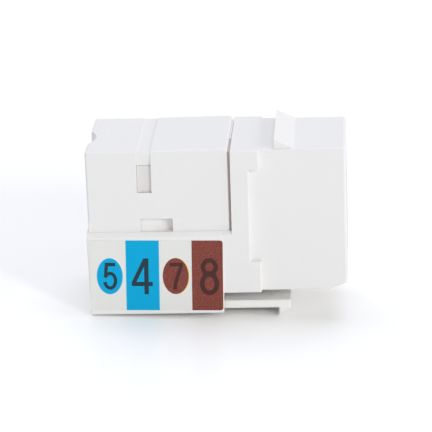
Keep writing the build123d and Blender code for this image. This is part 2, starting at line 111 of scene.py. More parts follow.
# How uneven each ink is, from 0 to 1, because some are printed in dots
MOTTLES = {
    "blue": 0.02, "brown": 0.6, "green": 0.1, "orange": 0.3, "slate": 0.05, "umber": 0.25, "yellow": 0.05,
}
PRINT_SPECKLE = 0.15  # the speckle of even print
DOT_SPECKLE = 6.0  # what it gains as the mottle goes to 1
DOT_DEPTH = 0.8  # how much darker its dark spots are then


def body_holding(node):
    """The name of the body that a node belongs to."""
    for body, nodes in frame["record"]["behaviour"]["bodies"].items():
        if node in nodes:
            return body
    raise ValueError(f"no body holds {node}")


# Kinds of property


def length(name, words, value):
    """A size, which is never below zero."""
    return FloatProperty(
        name=name, description=words, default=value, min=0.0, subtype="DISTANCE", unit="LENGTH"
    )


def position(name, words, value):
    """A place along one axis of the frame."""
    return FloatProperty(name=name, description=words, default=value, subtype="DISTANCE", unit="LENGTH")


def turn(name, words, degrees):
    return FloatProperty(
        name=name, description=words, default=math.radians(degrees), subtype="ANGLE", unit="ROTATION"
    )


def ratio(name, words, value, high=100.0):
    return FloatProperty(name=name, description=words, default=value, min=0.0, max=high)


def camera_size(name, words, value):
    """A size of the camera, in its usual millimetres."""
    return FloatProperty(name=name, description=words, default=value, unit="CAMERA")


def whole_number(name, words, value, low):
    return IntProperty(name=name, description=words, default=value, min=low)


def screen_to_linear(part):
    share = part / 255
    return share / 12.92 if share <= 0.04045 else ((share + 0.055) / 1.055) ** 2.4


def colour(name, words, shade):
    """A surface's colour. The shade is written as it should look on a screen, from 0 to 255."""
    return FloatVectorProperty(
        name=name, description=words, subtype="COLOR", size=3, min=0.0, max=1.0,
        default=[screen_to_linear(part) for part in shade],
    )


def tint(name, words, shade):
    """A colour that may be brighter than white, as a light's may. White is all ones."""
    return FloatVectorProperty(
        name=name, description=words, subtype="COLOR", default=shade, min=0.0, max=2.0
    )


# Settings


class JackFinish(bpy.types.PropertyGroup):
    """Colours of the jack's plastics and metals. Some of the plastics are painted light and shade, as told
    beside them.
    """

    plastic: colour("Plastic", "White moulded plastic", (242, 239, 236))
    # Painted light: a lighter copy of the white plastic, which brightens the shaded notches of the block and
    # its cover
    block: colour("Block plastic", "Plastic of the rear block and its cover", (245, 242, 239))
    # Painted light: a lighter copy of the white plastic, which brightens the latch arm in the shaded slot
    # under the nose
    latch: colour("Latch plastic", "Plastic of the latch arm", (250, 248, 244))
    # Painted shade: the nubs are of the block's plastic, and their faces are darker for the shade inside the
    # cap's windows
    nub: colour("Nub plastic", "Plastic of the two faces in the cap's windows", (232, 228, 222))
    # Painted shade: the strip's near part is brown to stand for the warm dark in the slit between the cap
    # and the collar
    strip: colour("Strip", "Plastic of the strip's near part", (208, 188, 173))
    carrier: colour("Carrier plastic", "Plastic of the comb in the port", (233, 233, 231))
    board: colour("Board", "Lacquer of the circuit board", (22, 96, 54))
    gold: colour("Gold", "Plating of the spring contacts", (236, 192, 108))
    tin: colour("Tin", "Plating of the wire terminals", (198, 196, 190))


class JackLabel(bpy.types.PropertyGroup):
    """Sizes and colours of the two printed labels."""

    paper: colour("Paper", "Ground of the labels", (237, 235, 229))
    blue: colour("Blue", "Blue print", (0, 172, 221))
    brown: colour("Brown", "Brown print", (153, 82, 71))
    green: colour("Green", "Green print on the far label", (66, 160, 92))
    orange: colour("Orange", "Orange print on the far label", (232, 132, 44))
    slate: colour("Slate", "Numbers on blue", (40, 62, 74))
    umber: colour("Umber", "Numbers on brown", (84, 50, 48))
    yellow: colour("Yellow", "Layer of print below the brown oval", (250, 214, 110))
    near_turn: turn("Near turn", "How far the near label is turned clockwise", 1.0)
    corner: length("Corner", "Radius of the labels' corners", 0.3 * MM)
    ink: length("Ink", "Thickness of one layer of print", 0.006 * MM)
    oval_width: length("Oval width", "Width of a printed oval", 2.91 * MM)
    oval_height: length("Oval height", "Height of a printed oval", 4.21 * MM)
    misprint: length("Misprint", "How far the yellow layer shows beside the brown oval", 0.09 * MM)


class JackNub(bpy.types.PropertyGroup):
    """Sizes and place of the nubs' faces, which show in the cap's windows."""

    centre_x: position("Centre X", "Place along the jack", -22.484 * MM)
    centre_z: position("Centre Z", "Height of the middle", 5.08 * MM)
    out: length("Out", "From the jack's middle to the nub's own face", 7.4 * MM)
    width: length("Width", "Width of the face", 1.58 * MM)
    height: length("Height", "Height of the face", 3.03 * MM)
    corner: length("Corner", "Radius of its corners", 0.06 * MM)
    proud: length("Proud", "How far it stands out of the nub", 0.03 * MM)
    root: length("Root", "How far it goes into the nub", 0.1 * MM)


class JackStep(bpy.types.PropertyGroup):
    """Sizes and place of the steps that show in the cap's pry notches."""

    start_x: position("Start X", "The side of the rib", -21.734 * MM)
    change_x: position("Change X", "Where the first step ends and the second begins", -20.56 * MM)
    end_x: position("End X", "The front end of the notch", -19.48 * MM)
    low_z: position("Low Z", "Height of the block's deck", -1.0 * MM)
    out: length("Out", "From the jack's middle to the towers' wall", 6.55 * MM)
    height: length("Height", "Height of the steps", 1.36 * MM)
    first: length("First step", "How far the step beside the rib stands out", 0.5 * MM)
    second: length("Second step", "How far the other one stands out", 0.25 * MM)
    root: length("Root", "How far they go into the wall and the deck", 0.05 * MM)


class JackStrip(bpy.types.PropertyGroup):
    """Sizes of the raised strip around the cap's front, in the slit between the cap and the collar."""

    inset: length("Inset", "From the cap's sides to the strip", 0.35 * MM)
    drop: length("Drop", "From the cap's top to the strip", 0.4 * MM)
    change: length("Change", "From the jack's middle to the end of the near part", 1.4 * MM)
    width: length("Width", "Width of the strip", 0.7 * MM)
    proud: length("Proud", "How far it stands out of the cap", 0.15 * MM)
    root: length("Root", "How far it goes into the cap", 0.1 * MM)


class JackWire(bpy.types.PropertyGroup):
    """Sizes of the eight spring contacts, which are bent from round wire."""

    radius: length("Radius", "Radius of the wire", 0.17 * MM)
    sides: whole_number("Sides", "Flat sides of the wire's section", 14, 6)
    bend: length("Bend", "From the middle of the front bend to the middle of the wire", 0.72 * MM)
    bend_steps: whole_number("Bend steps", "Straight pieces in the front bend", 24, 4)
    corner: length("Corner", "Radius of the bend above the pin", 0.4 * MM)
    corner_steps: whole_number("Corner steps", "Straight pieces in that bend", 8, 2)
    slope: turn("Slope", "How steeply the free arm rises towards the back", 17.0)
    reach: length("Reach", "Length of the free arm", 8.5 * MM)


class JackStage(bpy.types.PropertyGroup):
    """Camera, light and floor."""

    lens: camera_size("Lens", "Focal length", 250.0)
    film: camera_size("Film", "Width of the film", 36.0)
    clip_near: length("Near clip", "Nothing closer to the camera shows", 0.01)
    clip_far: length("Far clip", "Nothing further from the camera shows", 10.0)
    distance: length("Distance", "From the camera to its target", 342.15 * MM)
    pitch: turn("Pitch", "How far the camera looks down", 15.87)
    yaw: turn("Yaw", "How far it is turned to the left", 2.86)
    roll: turn("Roll", "How far the picture is turned", 1.74)
    target_x: position("Target X", "Aim along the jack", -14.97 * MM)
    target_z: position("Target Z", "Height of the aim", -1.47 * MM)
    room_light: ratio("Room light", "Strength of the even light", 0.41)
    light_tint: tint("Light tint", "Colour of the room and the lamps", (0.978, 1.0, 1.014))
    key_light: ratio("Key light", "Strength of the small lamp at the right, in watts", 8.2)
    key_azimuth: turn("Key azimuth", "From before the near side to the small lamp, towards the port", 37.0)
    key_height: turn("Key height", "Height of the small lamp above the floor", 19.0)
    key_distance: length("Key distance", "From the jack to the small lamp", 1.8)
    key_size: length("Key size", "Width of the small lamp", 0.28)
    fill_light: ratio("Fill light", "Strength of the large lamp in front, in watts", 5.5)
    fill_azimuth: turn("Fill azimuth", "From before the near side to the large lamp, towards the port", 15.0)
    fill_height: turn("Fill height", "Height of the large lamp above the floor", 22.0)
    fill_distance: length("Fill distance", "From the jack to the large lamp", 2.4)
    fill_size: length("Fill size", "Width of the large lamp", 1.2)
    port_light: ratio("Port light", "Strength of the lamp before the port, in watts", 6.8)
    port_azimuth: turn("Port azimuth", "From before the near side to the lamp before the port", 80.0)
    port_height: turn("Port height", "Height of the lamp before the port", 17.0)
    port_distance: length("Port distance", "From the jack to the lamp before the port", 2.0)
    port_size: length("Port size", "Width of the lamp before the port", 1.2)
    top_light: ratio("Top light", "Strength of the lamp above, in watts", 19.0)
    top_azimuth: turn("Top azimuth", "From before the near side to the lamp above, past the port", 184.0)
    top_height: turn("Top height", "Height of the lamp above over the floor", 68.0)
    top_distance: length("Top distance", "From the jack to the lamp above", 2.0)
    top_size: length("Top size", "Width of the lamp above", 2.0)
    top_tint: tint("Top tint", "Colour of the lamp above", (0.945, 1.0, 1.17))
    floor_white: ratio("Floor white", "Share of light that the floor gives back", 0.985, 1.0)
    floor_seen: tint("Floor seen", "The same share as the camera sees it", (1.14, 1.12, 1.095))
    floor_roughness: ratio("Floor roughness", "Roughness of the floor", 0.3, 1.0)
    floor_gloss: ratio("Floor gloss", "Specular level of the floor", 0.07, 1.0)
    rest_span: length("Rest span", "Least space between the jack's two touches of the floor", 1.0 * MM)
    floor_gap: length("Floor gap", "From the jack to the floor", 0.08 * MM)
    floor_size: length("Floor size", "Width of the floor", 6.0)


# Materials


def new_material(name):
    made = bpy.data.materials.new(name)
    made.use_nodes = True
    made.node_tree.nodes.clear()
    return made


def add(tree, kind, place=(0, 0), **settings):
    node = tree.nodes.new(kind)
    node.location = place
    for key, value in settings.items():
        setattr(node, key, value)
    return node


def grain_group():
    """Moulded or printed grain: a slow drift of the colour with fine speckle, and a height for bumps."""
    name = "surface_grain"
    if name in bpy.data.node_groups:
        return bpy.data.node_groups[name]
    tree = bpy.data.node_groups.new(name, "ShaderNodeTree")
    socket = tree.interface.new_socket
    for label in ("Colour", "Dark colour"):
        socket(label, in_out="INPUT", socket_type="NodeSocketColor")
    for label in ("Drift scale", "Drift", "Speckle scale", "Speckle", "Roughness", "Roughness spread"):
        socket(label, in_out="INPUT", socket_type="NodeSocketFloat")
    socket("Colour", in_out="OUTPUT", socket_type="NodeSocketColor")
    for label in ("Roughness", "Height"):
        socket(label, in_out="OUTPUT", socket_type="NodeSocketFloat")
    inputs = add(tree, "NodeGroupInput", (-900, 0))
    outputs = add(tree, "NodeGroupOutput", (700, 0))
    place = add(tree, "ShaderNodeTexCoord", (-900, -400))
    drift = add(tree, "ShaderNodeTexNoise", (-600, 100))
    drift.inputs["Detail"].default_value = 2.0
    speckle = add(tree, "ShaderNodeTexNoise", (-600, -200))
    speckle.inputs["Detail"].default_value = 1.5
    link = tree.links.new
    link(place.outputs["Object"], drift.inputs["Vector"])
    link(place.outputs["Object"], speckle.inputs["Vector"])
    link(inputs.outputs["Drift scale"], drift.inputs["Scale"])
    link(inputs.outputs["Speckle scale"], speckle.inputs["Scale"])
    total = add(tree, "ShaderNodeMath", (50, 0), operation="ADD")
    for i, (noise, strength) in enumerate(((drift, "Drift"), (speckle, "Speckle"))):
        centred = add(tree, "ShaderNodeMath", (-350, 100 - 300 * i), operation="SUBTRACT")
        centred.inputs[1].default_value = NOISE_MIDDLE
        scaled = add(tree, "ShaderNodeMath", (-150, 100 - 300 * i), operation="MULTIPLY")
        link(noise.outputs["Fac"], centred.inputs[0])
        link(centred.outputs[0], scaled.inputs[0])
        link(inputs.outputs[strength], scaled.inputs[1])
        link(scaled.outputs[0], total.inputs[i])
    share = add(tree, "ShaderNodeMath", (200, 0), operation="ADD", use_clamp=True)
    share.inputs[1].default_value = NOISE_MIDDLE
    link(total.outputs[0], share.inputs[0])
    mix = add(tree, "ShaderNodeMix", (400, 100), data_type="RGBA")
    link(share.outputs[0], mix.inputs["Factor"])
    link(inputs.outputs["Dark colour"], mix.inputs[MIX_A])
    link(inputs.outputs["Colour"], mix.inputs[MIX_B])
    link(mix.outputs[MIX_RESULT], outputs.inputs["Colour"])
    spread = add(tree, "ShaderNodeMath", (400, -100), operation="MULTIPLY_ADD", use_clamp=True)
    link(total.outputs[0], spread.inputs[0])
    link(inputs.outputs["Roughness spread"], spread.inputs[1])
    link(inputs.outputs["Roughness"], spread.inputs[2])
    link(spread.outputs[0], outputs.inputs["Roughness"])
    link(speckle.outputs["Fac"], outputs.inputs["Height"])
    return tree


def surface(
    name, shade, dark, roughness, metallic=0.0, drift=(220.0, 0.4), speckle=(7000.0, 0.3), spread=0.08,
    bump=0.04, coat=0.0, gloss=0.5,
):
    """A material whose colour, roughness and bumps come from the grain group.

    Dark is the share of the shade in its darkest spots. Drift and speckle are each a scale and a strength.
    """
    if name in bpy.data.materials:
        return bpy.data.materials[name]
    made = new_material(name)
    tree = made.node_tree
    shader = add(tree, "ShaderNodeBsdfPrincipled", (300, 0))
    shader.inputs["Metallic"].default_value = metallic
    shader.inputs["IOR"].default_value = REFRACTION
    shader.inputs["Coat Weight"].default_value = coat
    shader.inputs["Specular IOR Level"].default_value = gloss
    output = add(tree, "ShaderNodeOutputMaterial", (600, 0))
    grain = add(tree, "ShaderNodeGroup", (-300, 0), node_tree=grain_group())
    grain.inputs["Colour"].default_value = (*shade, 1.0)
    grain.inputs["Dark colour"].default_value = (*[part * dark for part in shade], 1.0)
    grain.inputs["Drift scale"].default_value, grain.inputs["Drift"].default_value = drift
    grain.inputs["Speckle scale"].default_value, grain.inputs["Speckle"].default_value = speckle
    grain.inputs["Roughness"].default_value = roughness
    grain.inputs["Roughness spread"].default_value = spread
    bumps = add(tree, "ShaderNodeBump", (0, -250))
    bumps.inputs["Strength"].default_value = bump
    bumps.inputs["Distance"].default_value = GRAIN_RELIEF
    link = tree.links.new
    link(grain.outputs["Colour"], shader.inputs["Base Color"])
    link(grain.outputs["Roughness"], shader.inputs["Roughness"])
    link(grain.outputs["Height"], bumps.inputs["Height"])
    link(bumps.outputs["Normal"], shader.inputs["Normal"])
    link(shader.outputs["BSDF"], output.inputs["Surface"])
    return made


def satin_plastic(name, shade):
    """Moulded plastic of the outer pieces. The copies for the block, its cover and the latch are lighter, as
    painted light in their shaded notches and slot.
    """
    return surface(name, shade, dark=0.985, roughness=0.38, bump=0.06)


def moulded_plastic(finish):
    return satin_plastic("white_plastic", finish.plastic)


# Painted light: the white plastic made lighter for the block's shaded notches
def block_plastic(finish):
    return satin_plastic("block_plastic", finish.block)


# Painted light: the white plastic made lighter for the latch arm under the nose
def latch_plastic(finish):
    return satin_plastic("latch_plastic", finish.latch)


# Painted shade of the cap's windows, on the nubs' faces
def nub_plastic(finish):
    return surface("nub_plastic", finish.nub, dark=0.97, roughness=0.45)


# Painted shade of the slit, on the strip's near part
def strip_plastic(finish):
    return surface("strip_plastic", finish.strip, dark=0.97, roughness=0.5)


def comb_plastic(finish):
    return surface("comb_plastic", finish.carrier, dark=0.97, roughness=0.5)


def board_lacquer(finish):
    return surface("board_lacquer", finish.board, dark=0.7, roughness=0.28, speckle=(3000.0, 0.5), coat=0.4)


def gold_plating(finish):
    return surface("gold_plating", finish.gold, dark=0.9, roughness=0.22, metallic=1.0, spread=0.12)


def tin_plating(finish):
    return surface("tin_plating", finish.tin, dark=0.88, roughness=0.34, metallic=1.0, spread=0.18)


def label_paper(label):
    return surface("label_paper", label.paper, dark=0.985, roughness=0.55, speckle=(9000.0, 0.4), gloss=0.3)


def ink(name, shade, mottle):
    """Print on a label, which is speckled where its colour is made of dots."""
    return surface(
        name, shade, dark=1.0 - DOT_DEPTH * mottle, roughness=0.55, drift=(900.0, 0.2),
        speckle=(7500.0, PRINT_SPECKLE + DOT_SPECKLE * mottle), spread=0.04, gloss=0.15,
    )


def dress(node, material):
    """Give a CAD node its material. Its mesh stays as it is."""
    materials = frame["nodes"][node].data.materials
    materials.clear()
    materials.append(material)


# Outlines


def arc(centre, size, start, end, steps=20):
    """Points along part of an oval with these half sizes, from one angle in degrees to another."""
    points = []
    for i in range(steps + 1):
        angle = math.radians(start + (end - start) * i / steps)
        points.append((centre[0] + size[0] * math.cos(angle), centre[1] + size[1] * math.sin(angle)))
    return points


def hole(centre, size, end=342):
    """An oval hole in a number. Its arc ends one side before its start."""
    return arc(centre, size, 0, end)


def oval_outline(centre, width, height, steps=48):
    return arc(centre, (width / 2, height / 2), 0, 360, steps)[:-1]


def rounded_outline(width, height, corner, steps=6):
    """Points of a rounded rectangle about the origin, counter-clockwise."""
    points = []
    for quarter, (sx, sy) in enumerate(((1, 1), (-1, 1), (-1, -1), (1, -1))):
        centre = (sx * (width / 2 - corner), sy * (height / 2 - corner))
        points += arc(centre, (corner, corner), 90 * quarter, 90 * (quarter + 1), steps)
    return points


def clipped(points, low, high):
    """The part of a convex outline between two places along its first axis."""
    for side, keep in ((low, 1), (high, -1)):
        result = []
        for (ax, ay), (bx, by) in zip(points, points[1:] + points[:1]):
            a_in = keep * (ax - side) >= 0
            b_in = keep * (bx - side) >= 0
            if a_in:
                result.append((ax, ay))
            if a_in != b_in:
                share = (side - ax) / (bx - ax)
                result.append((side, ay + share * (by - ay)))
        points = result
    return points


def number_outlines(text):
    """The outlines of a bold number in a box one wide and one high: the outer one, then its holes."""
    if text == "1":
        return [[
            (0.5, -0.5), (0.5, 0.5), (0.08, 0.5), (-0.5, 0.33), (-0.5, 0.19), (0.02, 0.3), (0.02, -0.5),
        ]]
    if text == "2":
        outer = arc((0.0, 0.22), (0.5, 0.28), 175, -38)
        inner = arc((0.0, 0.22), (0.25, 0.16), -38, 175)
        return [outer + [(-0.12, -0.38), (0.5, -0.38), (0.5, -0.5), (-0.5, -0.5), (-0.5, -0.4)] + inner]
    if text == "3":
        outer = arc((-0.02, 0.25), (0.46, 0.25), 165, -50) + arc((-0.02, -0.22), (0.52, 0.28), 50, -165)
        inner = arc((-0.02, -0.22), (0.27, 0.16), -165, 90) + arc((-0.02, 0.25), (0.22, 0.135), -90, 165)
        return [outer + inner]
    if text == "4":
        outer = [
            (0.07, 0.5), (0.31, 0.5), (0.31, -0.155), (0.5, -0.155), (0.5, -0.272), (0.31, -0.272),
            (0.31, -0.5), (0.1, -0.5), (0.1, -0.272), (-0.5, -0.272), (-0.5, -0.168),
        ]
        return [outer, [(0.1, 0.27), (0.1, -0.155), (-0.28, -0.155)]]
    if text == "5":
        top = [(-0.38, 0.5), (0.37, 0.5), (0.37, 0.37), (-0.15, 0.37), (-0.2, 0.135)]
        outer = arc((-0.014, -0.165), (0.514, 0.335), 108, -170)
        inner = arc((-0.014, -0.165), (0.27, 0.21), -170, 150)
        return [top + outer + inner + [(-0.47, -0.04)]]
    if text == "6":
        stem = arc((0.08, 0.0), (0.58, 0.5), 180, 50) + arc((0.08, 0.0), (0.34, 0.37), 50, 165)
        return [stem + arc((0.0, -0.2), (0.5, 0.3), 120, -180), hole((0.0, -0.2), (0.26, 0.175))]
    if text == "7":
        return [[
            (-0.5, 0.5), (0.5, 0.5), (0.5, 0.4), (0.36, 0.18), (0.17, -0.06), (0.04, -0.3), (0.02, -0.5),
            (-0.26, -0.5), (-0.23, -0.3), (-0.1, -0.06), (0.08, 0.18), (0.21, 0.37), (-0.5, 0.37),
        ]]
    if text == "8":
        outer = arc((0.0, 0.255), (0.445, 0.245), -42, 222) + arc((0.0, -0.195), (0.5, 0.305), 133, 407)
        return [outer, hole((0.0, 0.26), (0.215, 0.12)), hole((0.0, -0.19), (0.26, 0.185))]
    raise ValueError(f"no outline for {text}")


# Meshes


def new_piece(name, shape, material):
    """A finished piece: its object is at the origin and its place is in its mesh."""
    made = bpy.data.objects.new(name, shape)
    bpy.context.collection.objects.link(made)
    if material:
        shape.materials.clear()
        shape.materials.append(material)
    return made


def baked(source, name, material):
    """The evaluated object as a plain mesh piece. The source is removed."""
    depsgraph = bpy.context.evaluated_depsgraph_get()
    shape = bpy.data.meshes.new_from_object(source.evaluated_get(depsgraph))
    bpy.data.objects.remove(source)
    shape.name = name
    return new_piece(name, shape, material)


def plate_piece(name, outline, low, high, place, material):
    """A closed plate over an outline, from one height to another, put into its place."""
    work = bmesh.new()
    bottom, top = (
        [work.verts.new(place @ Vector((x, y, level))) for x, y in outline] for level in (low, high)
    )
    work.faces.new(list(reversed(bottom)))
    work.faces.new(top)
    for i in range(len(outline)):
        j = (i + 1) % len(outline)
        work.faces.new((bottom[i], bottom[j], top[j], top[i]))
    bmesh.ops.recalc_face_normals(work, faces=work.faces)
    shape = bpy.data.meshes.new(name)
    work.to_mesh(shape)
    work.free()
    return new_piece(name, shape, material)


def number_piece(name, text, box, low, high, place, material):
    """A printed number that fills a box, which is its middle across and up, its width and its height."""
    across, up, width, height = box
    drawing = bpy.data.curves.new(name, "CURVE")
    drawing.dimensions = "2D"
    drawing.fill_mode = "BOTH"
    drawing.extrude = (high - low) / 2
    for points in number_outlines(text):
        spline = drawing.splines.new("POLY")
        spline.points.add(len(points) - 1)
        for point, (x, y) in zip(spline.points, points):
            point.co = (x * width, y * height, 0.0, 1.0)
        spline.use_cyclic_u = True
    source = bpy.data.objects.new(name, drawing)
    bpy.context.collection.objects.link(source)
    made = baked(source, name, material)
    work = bmesh.new()
    work.from_mesh(made.data)
    bmesh.ops.remove_doubles(work, verts=work.verts, dist=MERGE)
    bmesh.ops.recalc_face_normals(work, faces=work.faces)
    work.to_mesh(made.data)
    work.free()
    made.data.transform(place @ Matrix.Translation((across, up, (low + high) / 2)))
    return made


def label_place(node, side, angle):
    """From a label's own axes (across, up, out) to the frame. The side is -1 near and 1 far."""
    low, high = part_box(node)
    centre = (low + high) / 2
    centre.y = high.y if side < 0 else low.y
    if side < 0:
        axes = Matrix(((1, 0, 0), (0, 0, -1), (0, 1, 0)))
    else:
        axes = Matrix(((-1, 0, 0), (0, 0, 1), (0, 1, 0)))
    return Matrix.Translation(centre) @ axes.to_4x4() @ Matrix.Rotation(-angle, 4, "Z")


def wire_path(node, wire):
    """The middle line of a contact: its pin, the run under the comb, the front bend and the free arm."""
    low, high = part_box(node)
    slope, bend, corner = wire.slope, wire.bend, wire.corner
    pin_x = low.x + wire.radius
    centre_x = high.x - wire.radius - bend
    centre_z = high.z - (bend + wire.radius) * math.cos(slope) - wire.reach * math.sin(slope)
    run_z = centre_z - bend
    points = [(pin_x, low.z)]
    points += arc((pin_x + corner, run_z - corner), (corner, corner), 180, 90, wire.corner_steps)
    points += arc((centre_x, centre_z), (bend, bend), -90, 90 - math.degrees(slope), wire.bend_steps)
    x, z = points[-1]
    points.append((x - wire.reach * math.cos(slope), z + wire.reach * math.sin(slope)))
    return [(x, (low.y + high.y) / 2, z) for x, z in points]


def wire_row_tree():
    """Sweeps a round section along each path and repeats the result across the jack."""
    tree = bpy.data.node_groups.new("wire_row", "GeometryNodeTree")
    socket = tree.interface.new_socket
    socket("Paths", in_out="INPUT", socket_type="NodeSocketGeometry")
    socket("Count", in_out="INPUT", socket_type="NodeSocketInt")
    socket("Spacing", in_out="INPUT", socket_type="NodeSocketFloat")
    socket("Radius", in_out="INPUT", socket_type="NodeSocketFloat")
    socket("Sides", in_out="INPUT", socket_type="NodeSocketInt")
    socket("Material", in_out="INPUT", socket_type="NodeSocketMaterial")
    socket("Wires", in_out="OUTPUT", socket_type="NodeSocketGeometry")
    inputs = add(tree, "NodeGroupInput", (-800, 0))
    outputs = add(tree, "NodeGroupOutput", (1000, 0))
    paths = add(tree, "GeometryNodeMeshToCurve", (-500, 200))
    section = add(tree, "GeometryNodeCurvePrimitiveCircle", (-500, 0))
    sweep = add(tree, "GeometryNodeCurveToMesh", (-250, 100))
    sweep.inputs["Fill Caps"].default_value = True
    step = add(tree, "ShaderNodeCombineXYZ", (-500, -250))
    places = add(tree, "GeometryNodeMeshLine", (-250, -200))
    copies = add(tree, "GeometryNodeInstanceOnPoints", (0, 0))
    whole = add(tree, "GeometryNodeRealizeInstances", (250, 0))
    smooth = add(tree, "GeometryNodeSetShadeSmooth", (500, 0))
    finish = add(tree, "GeometryNodeSetMaterial", (750, 0))
    link = tree.links.new
    link(inputs.outputs["Paths"], paths.inputs["Mesh"])
    link(inputs.outputs["Sides"], section.inputs["Resolution"])
    link(inputs.outputs["Radius"], section.inputs["Radius"])
    link(paths.outputs["Curve"], sweep.inputs["Curve"])
    link(section.outputs["Curve"], sweep.inputs["Profile Curve"])
    link(inputs.outputs["Count"], places.inputs["Count"])
    link(inputs.outputs["Spacing"], step.inputs["Y"])
    link(step.outputs["Vector"], places.inputs["Offset"])
    link(places.outputs["Mesh"], copies.inputs["Points"])
    link(sweep.outputs["Mesh"], copies.inputs["Instance"])
    link(copies.outputs["Instances"], whole.inputs["Geometry"])
    link(whole.outputs["Geometry"], smooth.inputs["Geometry"])
    link(smooth.outputs["Geometry"], finish.inputs["Geometry"])
    link(inputs.outputs["Material"], finish.inputs["Material"])
    link(finish.outputs["Geometry"], outputs.inputs["Wires"])
    return tree


def set_inputs(modifier, values):
    """Set a modifier's inputs by name, through the identifiers of its sockets."""
    for item in modifier.node_group.interface.items_tree:
        if item.item_type == "SOCKET" and item.in_out == "INPUT" and item.name in values:
            modifier[item.identifier] = values[item.name]


# Places on the stage


def resting_slope(span):
    """Where the jack rests: its latch tooth's tip, and the floor's rise from there to the back.

    The rear block touches the floor too, at least the span behind the tip.
    """
    arm, block = (frame["nodes"][node].data.vertices for node in ("latch_arm", "rear_block"))
    tip = min((v.co for v in arm), key=lambda point: point.z)
    slope = min(
        (v.co.z - tip.z) / (tip.x - v.co.x)
        for v in block
        if v.co.x < tip.x - span
    )
    return Vector((tip.x, 0.0, tip.z)), slope


def away_from(azimuth, height):
    """The direction from the jack to a lamp. Azimuth 0 is before its near side, 90 before its port."""
    return Vector((
        math.sin(azimuth) * math.cos(height),
        -math.cos(azimuth) * math.cos(height),
        math.sin(height),
    ))


# Operators


class JACK_OT_shells(bpy.types.Operator):
    """Give the moulded pieces their plastics"""

    bl_idname = "jack.shells"
    bl_label = "Moulded shells"

    def execute(self, context):
        # The block, its cover and the latch arm get lighter copies of the white plastic, as painted light in
        # their shaded recesses
        plastics = {
            "rear_block": block_plastic,
            "bottom_cover": block_plastic,
            "latch_arm": latch_plastic,
            "contact_carrier": comb_plastic,
            "front_housing": moulded_plastic,
            "wire_cap": moulded_plastic,
        }
        for node, plastic in plastics.items():
            dress(node, plastic(context.scene.jack_finish))
        return {"FINISHED"}


class JACK_OT_nubs(bpy.types.Operator):
    """Make the faces of the two nubs that show in the cap's windows"""

    bl_idname = "jack.nubs"
    bl_label = "Nub faces"

    def execute(self, context):
        nub = context.scene.jack_nub
        # The faces are darker than the block, as painted shade in the windows
        plastic = nub_plastic(context.scene.jack_finish)
        outline = rounded_outline(nub.width, nub.height, nub.corner)
        for side, word in NEAR_AND_FAR:
            centre = Matrix.Translation((nub.centre_x, side * nub.out, nub.centre_z))
            place = centre @ Matrix.Diagonal((-side, side, 1.0, 1.0)) @ FACING_FAR
            face = plate_piece(f"nub_face_{word}", outline, -nub.root, nub.proud, place, plastic)
            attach(face, body_holding("rear_block"))
        return {"FINISHED"}


class JACK_OT_steps(bpy.types.Operator):
    """Make the steps on the block's towers that show in the cap's pry notches"""

    bl_idname = "jack.steps"
    bl_label = "Notch steps"

    def execute(self, context):
        step = context.scene.jack_step
        # The block's lighter plastic, painted light in the notches
        plastic = block_plastic(context.scene.jack_finish)
        low, high = step.low_z - step.root, step.low_z + step.height
        for side, word in NEAR_AND_FAR:
            wall = Matrix.Translation((0.0, side * step.out, 0.0))
            place = wall @ Matrix.Diagonal((1.0, side, 1.0, 1.0)) @ FACING_FAR
            for number, left, right, rise in (
                (1, step.start_x - step.root, step.change_x, step.first),
                (2, step.change_x, step.end_x, step.second),
            ):
                outline = [(left, low), (right, low), (right, high), (left, high)]
                name = f"notch_step_{word}_{number}"
                made = plate_piece(name, outline, -step.root, rise, place, plastic)
                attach(made, body_holding("rear_block"))
        return {"FINISHED"}


class JACK_OT_strip(bpy.types.Operator):
    """Make the raised strip around the cap's front, whose near part is painted brown as the shade in the
    slit
    """

    bl_idname = "jack.strip"
    bl_label = "Slit strip"

    def execute(self, context):
        finish, strip = context.scene.jack_finish, context.scene.jack_strip
        # The near part is brown as painted shade in the slit; the far part is white
        plastics = {"near": strip_plastic(finish), "far": moulded_plastic(finish)}
        cap_low, cap_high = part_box("wire_cap")
        outer, top = cap_high.y - strip.inset, cap_high.z - strip.drop
        inner, inner_top = outer - strip.width, top - strip.width
        place = Matrix.Translation((cap_high.x, 0.0, 0.0)) @ FACING_PORT
        for side, word in NEAR_AND_FAR:
            outline = [
                (side * outer, cap_low.z), (side * outer, top), (-strip.change, top),
                (-strip.change, inner_top), (side * inner, inner_top), (side * inner, cap_low.z),
            ]
            name = f"cap_strip_{word}"
            made = plate_piece(name, outline, -strip.root, strip.proud, place, plastics[word])
            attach(made, body_holding("wire_cap"))
        return {"FINISHED"}


class JACK_OT_contacts(bpy.types.Operator):
    """Make the eight spring contacts, whose pins stand in two staggered rows"""

    bl_idname = "jack.contacts"
    bl_label = "Spring contacts"

    def execute(self, context):
        wire = context.scene.jack_wire
        first, second = (wire_path(node, wire) for node in SPRING_CONTACTS[:2])
        shape = bpy.data.meshes.new("contact_paths")
        steps = [(i, i + 1) for i in range(len(first) - 1)]
        steps += [(i + len(first), j + len(first)) for i, j in steps]
        shape.from_pydata(first + second, steps, [])
        source = new_piece("contact_paths", shape, None)
        row = source.modifiers.new("wires", "NODES")
        row.node_group = wire_row_tree()
        set_inputs(row, {
            "Count": len(SPRING_CONTACTS) // 2,
            "Spacing": 2 * (second[0][1] - first[0][1]),
            "Radius": wire.radius,
            "Sides": wire.sides,
            "Material": gold_plating(context.scene.jack_finish),
        })
        wires = baked(source, "spring_contacts", None)
        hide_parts(*SPRING_CONTACTS)
        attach(wires, body_holding(SPRING_CONTACTS[0]))
        return {"FINISHED"}


class JACK_OT_metal(bpy.types.Operator):
    """Give the terminals and the board their finishes"""

    bl_idname = "jack.metal"
    bl_label = "Terminals and board"

    def execute(self, context):
        finish = context.scene.jack_finish
        for node in TERMINALS:
            dress(node, tin_plating(finish))
        dress("circuit_board", board_lacquer(finish))
        return {"FINISHED"}


